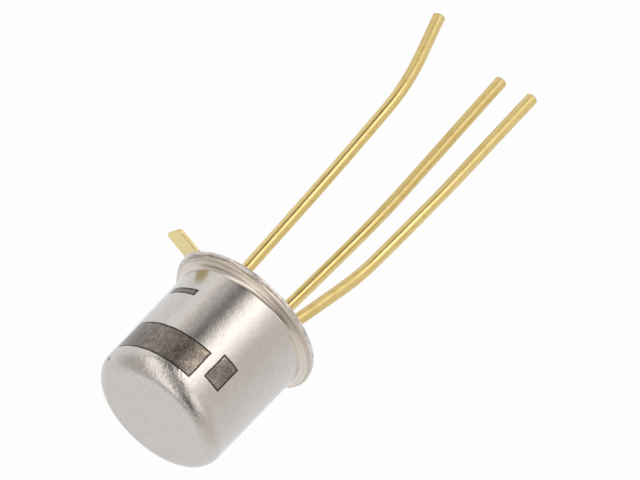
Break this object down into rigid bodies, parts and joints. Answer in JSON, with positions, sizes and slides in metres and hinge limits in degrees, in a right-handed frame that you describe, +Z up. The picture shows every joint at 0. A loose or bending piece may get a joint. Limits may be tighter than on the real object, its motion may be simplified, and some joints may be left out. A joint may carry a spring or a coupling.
{
  "type": "bipolar transistor",
  "caption": "Metal-can bipolar transistor: a drawn round can closed by a flanged base with an index tab, on long gold-plated wire leads that bend a little on their way down.",
  "frame": {"origin": "centre of the eyelet's flat underside, in the seating plane", "axes": "+Z up to the can's closed end, with the leads running down along -Z; the emitter lead stands towards -X, the base lead towards -Y and the collector lead towards +X, and the index tab points to the corner between -X and +Y"},
  "size_m": [0.0056, 0.0056, 0.0182],
  "materials": {
    "satin_nickel": "satin drawn nickel, a little mottled",
    "gold_plate": "thin pale gold plating over an iron-nickel-cobalt sealing alloy",
    "seal_glass": "smooth dark green sealing glass",
    "silicon": "polished silicon",
    "gold": "bare gold"
  },
  "bodies": {
    "root": {"can": "satin_nickel", "eyelet": "gold_plate", "glass_seal": "seal_glass", "emitter_lead": "gold_plate", "base_lead": "gold_plate", "collector_lead": "gold_plate", "silicon_die": "silicon", "die_bond_layer": "gold", "emitter_bond_wire": "gold", "base_bond_wire": "gold"}
  },
  "joints": []
}
